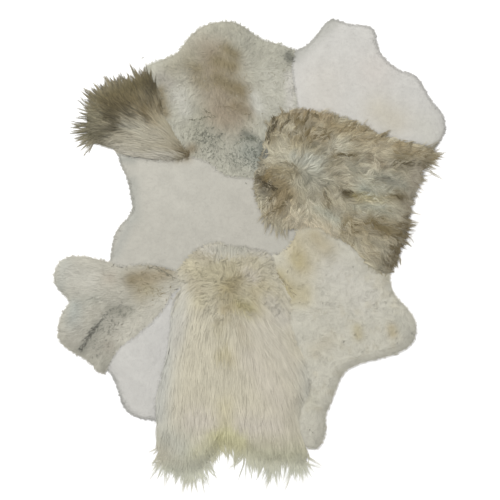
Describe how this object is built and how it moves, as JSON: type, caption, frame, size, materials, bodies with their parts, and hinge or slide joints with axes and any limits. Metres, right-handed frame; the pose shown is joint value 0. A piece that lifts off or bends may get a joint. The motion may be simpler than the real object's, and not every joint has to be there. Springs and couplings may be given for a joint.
{
  "type": "patchwork icelandic sheepskin rug",
  "caption": "Flat rug of irregular hide outline, pieced from shorn, short, curly and long-wooled sheepskin cuts sewn edge to edge, with locks that fall over its rim.",
  "frame": {"origin": "on the floor under the middle of the rug, which is the middle of its bounding box", "axes": "+Z up out of the wool, +Y along the rug's length from the long cream locks to the crown, +X to the right as seen from above with +Y up"},
  "size_m": [1.5697, 1.8972, 0.051],
  "materials": {
    "mottled_skin": "short beige wool with dark flecks, matt",
    "tail_skin": "long brown-tipped wool, soft sheen",
    "white_skin_upper": "shorn off-white wool, matt",
    "brown_skin": "long brown and grey wool, soft sheen",
    "white_skin_middle": "shorn warm white wool, matt",
    "grey_skin": "short grey-beige wool, matt",
    "white_skin_lower": "shorn off-white wool, matt",
    "cream_skin": "long cream wool, silky",
    "curly_skin": "curly cream wool, matt"
  },
  "bodies": {
    "root": {"mottled_skin": "mottled_skin", "tail_skin": "tail_skin", "white_skin_upper": "white_skin_upper", "brown_skin": "brown_skin", "white_skin_middle": "white_skin_middle", "grey_skin": "grey_skin", "white_skin_lower": "white_skin_lower", "cream_skin": "cream_skin", "curly_skin": "curly_skin"}
  },
  "joints": []
}
